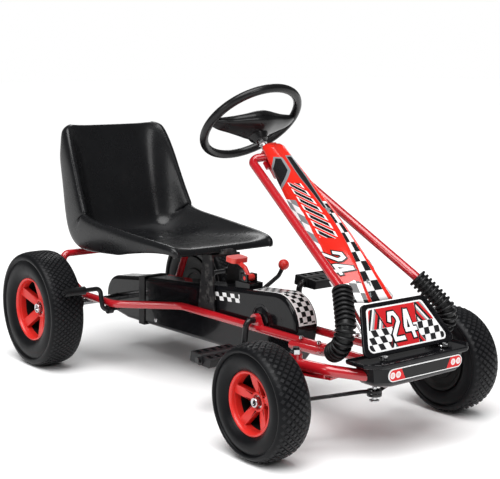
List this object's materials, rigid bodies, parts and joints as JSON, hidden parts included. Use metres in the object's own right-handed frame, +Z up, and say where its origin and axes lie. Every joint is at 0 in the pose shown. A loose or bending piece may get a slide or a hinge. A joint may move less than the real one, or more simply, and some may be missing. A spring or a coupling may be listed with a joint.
{
  "type": "pedal go kart",
  "caption": "Child's four-wheel pedal go kart: tube frame, chain drive, inclined steering column, bucket seat, hand brake and moulded wheels.",
  "frame": {"origin": "on the ground, under the middle of the bounding box", "axes": "+X forward along the kart, +Y to the driver's left, +Z up"},
  "size_m": [1.076, 0.535, 0.6252],
  "materials": {
    "red_steel": "gloss",
    "black_steel": "gloss",
    "zinc_steel": "satin",
    "red_plastic": "gloss",
    "black_plastic": "gloss",
    "seat_plastic": "satin",
    "tyre_black": "matte",
    "bellows_rubber": "satin",
    "printed_plate": "gloss"
  },
  "bodies": {
    "chassis": {"axle_bracket_left": "black_steel", "axle_bracket_right": "black_steel", "brake_clamps": "black_steel", "case_rear_cap": "black_plastic", "case_strap": "bellows_rubber", "chain": "zinc_steel", "chain_case_left": "black_plastic", "chain_case_right": "black_plastic", "cross_member": "red_steel", "fairing": "red_plastic", "frame_bolts": "zinc_steel", "front_axle_tube": "red_steel", "kingpin_bracket_left": "red_steel", "kingpin_bracket_right": "red_steel", "light_strip": "printed_plate", "nose_bumper": "black_plastic", "number_panel": "black_plastic", "seat_front_post": "black_steel", "seat_hoop": "red_steel", "seat_rail": "black_steel", "selector_base": "black_plastic", "side_rail_left": "red_steel", "side_rail_right": "red_steel", "stay_boot_left": "bellows_rubber", "stay_boot_right": "bellows_rubber", "stay_tube_left": "red_steel", "stay_tube_right": "red_steel", "steering_head": "red_steel"},
    "steering": {"steering_column": "black_steel", "steering_wheel": "black_plastic", "steering_wheel_cap": "red_plastic"},
    "knuckle_right": {"knuckle_right": "black_steel", "knuckle_nuts_right": "zinc_steel"},
    "knuckle_left": {"knuckle_left": "black_steel", "knuckle_nuts_left": "zinc_steel"},
    "tie_rod_right": {"tie_rod_right": "black_steel"},
    "tie_rod_left": {"tie_rod_left": "black_steel"},
    "front_wheel_right": {"front_tyre_right": "tyre_black", "front_rim_right": "red_plastic"},
    "front_wheel_left": {"front_tyre_left": "tyre_black", "front_rim_left": "red_plastic"},
    "rear_wheels": {"rear_axle": "zinc_steel", "axle_nuts": "zinc_steel", "rear_sprocket": "zinc_steel", "rear_tyre_right": "tyre_black", "rear_rim_right": "red_plastic", "rear_tyre_left": "tyre_black", "rear_rim_left": "red_plastic"},
    "crank_set": {"crank": "black_steel", "chain_wheel": "zinc_steel"},
    "pedal_right": {"pedal_right": "seat_plastic"},
    "pedal_left": {"pedal_left": "seat_plastic"},
    "seat": {"seat_shell": "seat_plastic", "seat_slider": "black_steel"},
    "selector": {"selector_lever": "red_plastic"},
    "brake_lever": {"brake_lever": "black_steel", "brake_grip": "red_plastic"},
    "brake_rod": {"brake_rod": "black_steel"},
    "brake_shaft": {"brake_shaft": "black_steel", "brake_pads": "bellows_rubber"}
  },
  "joints": [
    {"name": "steering_turn", "type": "hinge", "parent": "chassis", "child": "steering", "pos_m": [0.0573, 0, 0.5492], "axis": [-0.6717, 0, 0.7408], "range_deg": [-25, 25]},
    {"name": "kingpin_turn_right", "type": "hinge", "parent": "chassis", "child": "knuckle_right", "pos_m": [0.379, -0.154, 0.102], "axis": [0, 0, 1], "range_deg": [-27, 27]},
    {"name": "kingpin_turn_left", "type": "hinge", "parent": "chassis", "child": "knuckle_left", "pos_m": [0.379, 0.154, 0.102], "axis": [0, 0, 1], "range_deg": [-27, 27]},
    {"name": "tie_rod_turn_right", "type": "hinge", "parent": "knuckle_right", "child": "tie_rod_right", "pos_m": [0.334, -0.158, 0.075], "axis": [0, 0, 1], "range_deg": [-27, 27]},
    {"name": "tie_rod_turn_left", "type": "hinge", "parent": "knuckle_left", "child": "tie_rod_left", "pos_m": [0.334, 0.158, 0.075], "axis": [0, 0, 1], "range_deg": [-27, 27]},
    {"name": "front_wheel_spin_right", "type": "hinge", "parent": "knuckle_right", "child": "front_wheel_right", "pos_m": [0.379, -0.2325, 0.102], "axis": [0, 1, 0], "continuous": true},
    {"name": "front_wheel_spin_left", "type": "hinge", "parent": "knuckle_left", "child": "front_wheel_left", "pos_m": [0.379, 0.2325, 0.102], "axis": [0, 1, 0], "continuous": true},
    {"name": "rear_axle_spin", "type": "hinge", "parent": "chassis", "child": "rear_wheels", "pos_m": [-0.411, 0, 0.127], "axis": [0, 1, 0], "continuous": true},
    {"name": "crank_spin", "type": "hinge", "parent": "chassis", "child": "crank_set", "pos_m": [0.124, 0, 0.17], "axis": [0, 1, 0], "continuous": true},
    {"name": "pedal_spin_right", "type": "hinge", "parent": "crank_set", "child": "pedal_right", "pos_m": [0.11537, -0.123, 0.1086], "axis": [0, 1, 0], "continuous": true},
    {"name": "pedal_spin_left", "type": "hinge", "parent": "crank_set", "child": "pedal_left", "pos_m": [0.13263, 0.123, 0.2314], "axis": [0, 1, 0], "continuous": true},
    {"name": "seat_slide", "type": "slide", "parent": "chassis", "child": "seat", "axis": [0.9981, 0, 0.061], "range_m": [-0.02, 0.02]},
    {"name": "selector_swing", "type": "hinge", "parent": "chassis", "child": "selector", "pos_m": [0.052, 0, 0.238], "axis": [0, 1, 0], "range_deg": [-10, 10]},
    {"name": "brake_lever_pull", "type": "hinge", "parent": "chassis", "child": "brake_lever", "pos_m": [-0.02, 0.056, 0.128], "axis": [0, -1, 0], "range_deg": [0, 9], "stiffness_Nm_per_rad": 3, "springref_deg": -5.73},
    {"name": "brake_shaft_turn", "type": "hinge", "parent": "chassis", "child": "brake_shaft", "pos_m": [-0.271, 0, 0.136], "axis": [0, -1, 0], "range_deg": [0, 6]},
    {"name": "brake_rod_slide", "type": "slide", "parent": "chassis", "child": "brake_rod", "axis": [1, 0, 0], "range_m": [0, 0.0024]}
  ],
  "couplings": [
    {"joint": "kingpin_turn_right", "follows": "steering_turn", "ratio": 1.058},
    {"joint": "kingpin_turn_left", "follows": "steering_turn", "ratio": 1.058},
    {"joint": "tie_rod_turn_right", "follows": "steering_turn", "ratio": -1.058},
    {"joint": "tie_rod_turn_left", "follows": "steering_turn", "ratio": -1.058},
    {"joint": "crank_spin", "follows": "rear_axle_spin", "ratio": 0.59091},
    {"joint": "brake_shaft_turn", "follows": "brake_lever_pull", "ratio": 0.63636},
    {"joint": "brake_rod_slide", "follows": "brake_lever_pull", "m_per_rad": 0.014}
  ]
}
